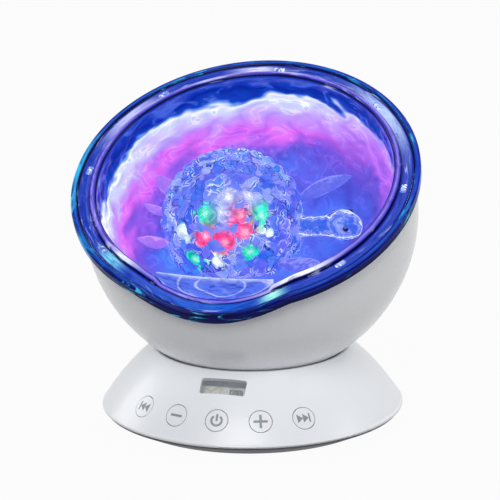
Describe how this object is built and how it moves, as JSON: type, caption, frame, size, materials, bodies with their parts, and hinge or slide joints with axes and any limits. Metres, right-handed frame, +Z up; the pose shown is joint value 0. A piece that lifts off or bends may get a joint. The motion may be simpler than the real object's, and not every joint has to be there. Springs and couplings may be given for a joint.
{
  "type": "ocean wave projector",
  "caption": "Tilting ball-shaped night light: a clear wave bowl with a turtle over coloured lamps and a geared ripple disc, on a round base with buttons and loudspeaker.",
  "frame": {"origin": "on the table, under the middle of the round base", "axes": "+Z up, -Y to the front where the buttons are, +X to the right as seen from the front"},
  "size_m": [0.1464, 0.1393, 0.1421],
  "materials": {
    "base_white": "satin white moulding",
    "cover_grey": "fine matt moulding",
    "foot_rubber": "soft matt",
    "screw_steel": "plated",
    "friction_grey": "waxy matt",
    "post_grey": "matt moulding",
    "spring_steel": "bright",
    "harness_grey": "sleeved lead",
    "board_green": "lacquered board",
    "jack_black": "matt moulding",
    "socket_metal": "plated sheet",
    "lead_red": "insulated lead",
    "speaker_black": "painted",
    "cone_paper": "coated paper",
    "magnet_grey": "ferrite",
    "carrier_white": "matt moulding",
    "flex_gold": "film",
    "window_smoke": "clear smoked",
    "button_white": "satin white moulding with grey symbols",
    "bowl_white": "gloss white moulding",
    "wave_clear": "clear, lit blue to pink from below",
    "turtle_clear": "clear, pebbled",
    "inner_white": "matt reflector",
    "board_white": "lacquered board",
    "lamp_red": "clear tinted, lit",
    "lamp_green": "clear tinted, lit",
    "lamp_blue": "clear tinted, lit",
    "disc_clear": "clear with ripple dimples",
    "motor_metal": "drawn can",
    "pinion_ivory": "waxy matt"
  },
  "bodies": {
    "base": {"base_shell": "base_white", "bottom_cover": "cover_grey", "foot_ring": "foot_rubber", "cover_screws": "screw_steel", "seat_ring": "friction_grey", "tilt_post": "post_grey", "post_screws": "screw_steel", "friction_saddle": "friction_grey", "spring_washer": "spring_steel", "clamp_nut": "spring_steel", "head_harness": "harness_grey", "main_board": "board_green", "main_board_screws": "screw_steel", "audio_socket": "jack_black", "power_socket": "socket_metal", "base_leads": "lead_red", "speaker_frame": "speaker_black", "speaker_cone": "cone_paper", "speaker_magnet": "magnet_grey", "button_carrier": "carrier_white", "button_flex": "flex_gold", "dome_switches": "spring_steel", "infrared_board": "board_green", "infrared_receiver": "jack_black", "remote_window": "window_smoke"},
    "head": {"head_bowl": "bowl_white", "wave_bowl": "wave_clear", "turtle": "turtle_clear", "light_baffle": "inner_white", "baffle_screws": "screw_steel", "chassis_plate": "inner_white", "chassis_screws": "screw_steel", "lamp_board": "board_white", "board_screws": "screw_steel", "red_lamps": "lamp_red", "green_lamps": "lamp_green", "blue_lamps": "lamp_blue", "disc_spindle": "spring_steel", "gear_motor": "motor_metal", "motor_screws": "screw_steel"},
    "disc": {"ripple_disc": "disc_clear"},
    "pinion": {"motor_shaft": "spring_steel", "drive_pinion": "pinion_ivory"},
    "previous_key": {"button_previous": "button_white"},
    "minus_key": {"button_minus": "button_white"},
    "power_key": {"button_power": "button_white"},
    "plus_key": {"button_plus": "button_white"},
    "next_key": {"button_next": "button_white"}
  },
  "joints": [
    {"name": "head_tilt", "type": "hinge", "parent": "base", "child": "head", "pos_m": [0, 0, 0.09], "axis": [1, 0, 0], "range_deg": [-30, 0], "deforming": ["head_harness"]},
    {"name": "disc_spin", "type": "hinge", "parent": "head", "child": "disc", "pos_m": [-0.01, 0.01616, 0.07], "axis": [0, -0.5, 0.866], "continuous": true},
    {"name": "pinion_spin", "type": "hinge", "parent": "head", "child": "pinion", "pos_m": [0.026, 0.01616, 0.07], "axis": [0, -0.5, 0.866], "continuous": true},
    {"name": "previous_press", "type": "slide", "parent": "base", "child": "previous_key", "axis": [0.4702, 0.6377, -0.6101], "range_m": [0, 0.0007], "stiffness_N_per_m": 400},
    {"name": "minus_press", "type": "slide", "parent": "base", "child": "minus_key", "axis": [0.2475, 0.7527, -0.6101], "range_m": [0, 0.0007], "stiffness_N_per_m": 400},
    {"name": "power_press", "type": "slide", "parent": "base", "child": "power_key", "axis": [0, 0.7923, -0.6101], "range_m": [0, 0.0007], "stiffness_N_per_m": 400},
    {"name": "plus_press", "type": "slide", "parent": "base", "child": "plus_key", "axis": [-0.2475, 0.7527, -0.6101], "range_m": [0, 0.0007], "stiffness_N_per_m": 400},
    {"name": "next_press", "type": "slide", "parent": "base", "child": "next_key", "axis": [-0.4702, 0.6377, -0.6101], "range_m": [0, 0.0007], "stiffness_N_per_m": 400}
  ],
  "couplings": [
    {"joint": "pinion_spin", "follows": "disc_spin", "ratio": -4}
  ]
}
